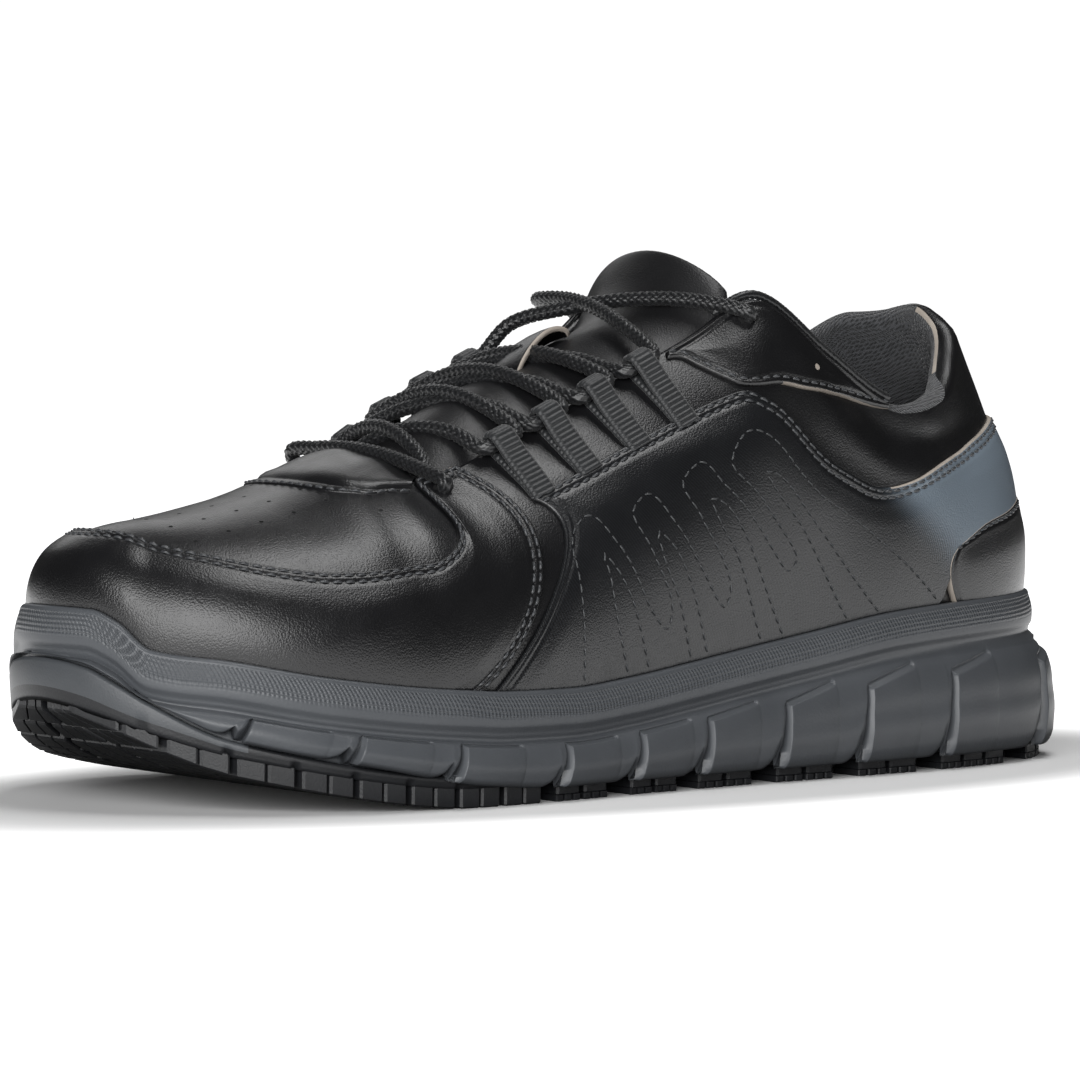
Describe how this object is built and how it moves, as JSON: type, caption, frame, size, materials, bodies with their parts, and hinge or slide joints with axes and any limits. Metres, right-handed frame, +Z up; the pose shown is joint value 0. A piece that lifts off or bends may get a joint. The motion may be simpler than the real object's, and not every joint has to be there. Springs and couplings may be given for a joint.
{
  "type": "safety shoe",
  "caption": "Low lace-up work shoe for the left foot: hollow leather upper with padded collar, toe overlay and webbing lace loops on a cushioned midsole with a lugged slip-resistant outsole.",
  "frame": {"origin": "on the floor under the middle of the sole's outline", "axes": "+X to the toe, +Y to the outer (lateral) side of the left shoe, +Z up"},
  "size_m": [0.299, 0.1096, 0.126],
  "materials": {
    "black_leather": "semi-gloss with fine pebble grain",
    "midsole_foam": "matt moulded foam",
    "outsole_rubber": "matt moulded rubber",
    "lining_cloth": "knitted mesh",
    "black_webbing": "woven"
  },
  "bodies": {
    "root": {"midsole": "midsole_foam", "outsole": "outsole_rubber", "upper": "black_leather", "insole": "lining_cloth", "tongue": "black_leather", "mudguard": "black_leather", "heel_counter": "black_leather", "quarter_lateral": "black_leather", "quarter_medial": "black_leather", "collar_overlay_lateral": "black_leather", "collar_overlay_medial": "black_leather", "loop_lateral_1": "black_webbing", "loop_lateral_2": "black_webbing", "loop_lateral_3": "black_webbing", "loop_lateral_4": "black_webbing", "loop_medial_1": "black_webbing", "loop_medial_2": "black_webbing", "loop_medial_3": "black_webbing", "loop_medial_4": "black_webbing", "lace": "black_webbing"}
  },
  "joints": []
}
